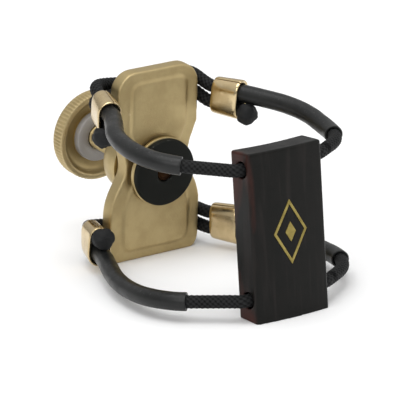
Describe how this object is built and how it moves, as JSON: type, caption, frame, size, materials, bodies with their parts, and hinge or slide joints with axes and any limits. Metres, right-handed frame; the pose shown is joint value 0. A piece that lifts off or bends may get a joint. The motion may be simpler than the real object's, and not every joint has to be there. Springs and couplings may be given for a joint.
{
  "type": "saxophone ligature",
  "caption": "Cord ligature for a saxophone mouthpiece: a brass plate with a thrust screw and padded disc, two sleeved cord rings and a curved wooden reed block.",
  "frame": {"origin": "on the mouthpiece's axis, midway between the disc's pad and the reed block at half height, on the surface that the ligature stands on", "axes": "+Z along the mouthpiece, +Y from the reed block to the knob, +X across the plate"},
  "size_m": [0.0352, 0.0533, 0.0301],
  "materials": {
    "satin_brass": "sandblasted satin",
    "turned_brass": "turned",
    "polished_brass": "polished",
    "nylon": "translucent",
    "pad_rubber": "matte",
    "sleeve_rubber": "satin",
    "braided_cord": "braided, matte",
    "dark_wood": "oiled satin",
    "gilt_inlay": "satin"
  },
  "bodies": {
    "plate": {"body_plate": "satin_brass", "threaded_bush": "turned_brass", "upper_rear_cord": "braided_cord", "lower_rear_cord": "braided_cord"},
    "disc": {"pressure_disc": "turned_brass", "disc_pad": "pad_rubber"},
    "screw": {"screw_spindle": "turned_brass", "spindle_retainer": "turned_brass", "knob": "satin_brass", "knob_washer": "nylon"},
    "left_side": {"upper_left_ferrule": "polished_brass", "upper_left_sleeve": "sleeve_rubber", "upper_left_cord": "braided_cord", "lower_left_ferrule": "polished_brass", "lower_left_sleeve": "sleeve_rubber", "lower_left_cord": "braided_cord"},
    "right_side": {"upper_right_ferrule": "polished_brass", "upper_right_sleeve": "sleeve_rubber", "upper_right_cord": "braided_cord", "lower_right_ferrule": "polished_brass", "lower_right_sleeve": "sleeve_rubber", "lower_right_cord": "braided_cord"},
    "front_cords": {"upper_front_cord": "braided_cord", "lower_front_cord": "braided_cord"},
    "block": {"reed_block": "dark_wood", "block_ornament": "gilt_inlay"}
  },
  "joints": [
    {"name": "disc_advance", "type": "slide", "parent": "plate", "child": "disc", "axis": [0, -0.9969, -0.0785], "range_m": [0, 0.0084]},
    {"name": "knob_turn", "type": "hinge", "parent": "disc", "child": "screw", "pos_m": [0, 0.02549, 0.01494], "axis": [0, -0.9969, -0.0785], "range_deg": [0, 4320]},
    {"name": "left_swing", "type": "hinge", "parent": "plate", "child": "left_side", "pos_m": [-0.0094, 0.0166, 0], "axis": [0, 0, 1], "range_deg": [-10, 10], "deforming": ["upper_rear_cord", "upper_left_cord", "upper_front_cord", "lower_rear_cord", "lower_left_cord", "lower_front_cord"]},
    {"name": "right_swing", "type": "hinge", "parent": "plate", "child": "right_side", "pos_m": [0.0094, 0.0166, 0], "axis": [0, 0, 1], "range_deg": [-10, 10], "deforming": ["upper_right_cord", "lower_right_cord"]},
    {"name": "front_swing", "type": "hinge", "parent": "left_side", "child": "front_cords", "pos_m": [-0.0094, -0.0139, 0], "axis": [0, 0, 1], "range_deg": [-10, 10]},
    {"name": "block_slide", "type": "slide", "parent": "front_cords", "child": "block", "axis": [1, 0, 0], "range_m": [-0.001, 0.001]}
  ],
  "couplings": [
    {"joint": "disc_advance", "follows": "knob_turn", "m_per_rad": 0.00011141},
    {"joint": "right_swing", "follows": "left_swing", "ratio": 1},
    {"joint": "front_swing", "follows": "left_swing", "ratio": -1}
  ]
}
